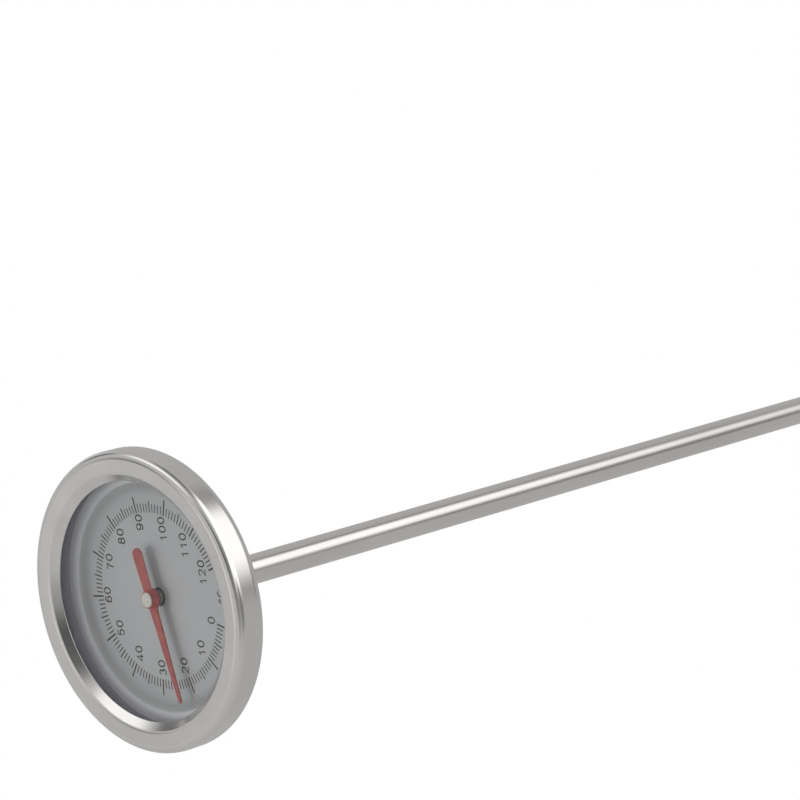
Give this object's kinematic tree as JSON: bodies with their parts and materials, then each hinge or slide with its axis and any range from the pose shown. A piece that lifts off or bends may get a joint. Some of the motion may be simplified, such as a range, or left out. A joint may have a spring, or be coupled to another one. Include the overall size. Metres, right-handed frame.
{
  "type": "dial thermometer",
  "caption": "Bimetal dial thermometer with a round steel head, red pointer, circular Celsius scale, long straight stem and soft red tip cap.",
  "frame": {"origin": "on the stem's axis, where the stem leaves the calibration nut at the back of the head", "axes": "+Y along the stem towards its tip, so the dial faces -Y; +Z from the axis towards the dial's middle mark (60)"},
  "size_m": [0.06, 0.4304, 0.06],
  "materials": {
    "stem_steel": "drawn and polished stainless steel tube with fine lengthwise marks",
    "nut_steel": "turned stainless steel",
    "bezel_steel": "satin stainless steel, brushed round the ring",
    "case_steel": "pressed satin stainless steel",
    "spring_steel": "spring steel",
    "bright_steel": "bright turned steel",
    "brass": "turned brass",
    "bimetal": "rolled bimetal strip",
    "boss_metal": "turned, slightly matte",
    "dial_aluminium": "matte silver-grey aluminium, printed in dark grey",
    "lens_glass": "clear flat glass",
    "black_rubber": "matte black rubber",
    "spacer_plastic": "dark charcoal, matte",
    "white_plastic": "natural white bearing plastic",
    "pointer_red": "satin red paint on sheet aluminium",
    "red_vinyl": "soft glossy red vinyl"
  },
  "bodies": {
    "stem": {"stem_tube": "stem_steel", "stem_tip_plug": "stem_steel", "calibration_nut": "nut_steel", "clamp_nut": "brass", "friction_washer": "spring_steel", "back_seal": "black_rubber", "upper_bearing": "bright_steel", "guide_bush_upper": "white_plastic", "guide_bush_middle": "white_plastic", "guide_bush_lower": "white_plastic", "coil_anchor": "brass", "bimetal_coil": "bimetal"},
    "head": {"bezel": "bezel_steel", "back_case": "case_steel", "lens": "lens_glass", "lens_gasket": "black_rubber", "spacer_ring": "spacer_plastic", "dial_plate": "dial_aluminium"},
    "pointer": {"pointer": "pointer_red", "pointer_boss": "boss_metal", "spindle": "bright_steel", "coil_hub": "brass"},
    "cap": {"tip_cap": "red_vinyl"}
  },
  "joints": [
    {"name": "head_turn", "type": "hinge", "parent": "stem", "child": "head", "pos_m": [0, 0, 0], "axis": [0, 1, 0], "continuous": true},
    {"name": "pointer_turn", "type": "hinge", "parent": "stem", "child": "pointer", "pos_m": [0, 0, 0], "axis": [0, 1, 0], "range_deg": [-60.4, 263.1], "stiffness_Nm_per_rad": 0.0005, "deforming": ["bimetal_coil"]},
    {"name": "cap_pull", "type": "slide", "parent": "stem", "child": "cap", "axis": [0, 1, 0], "range_m": [0, 0.03]}
  ]
}
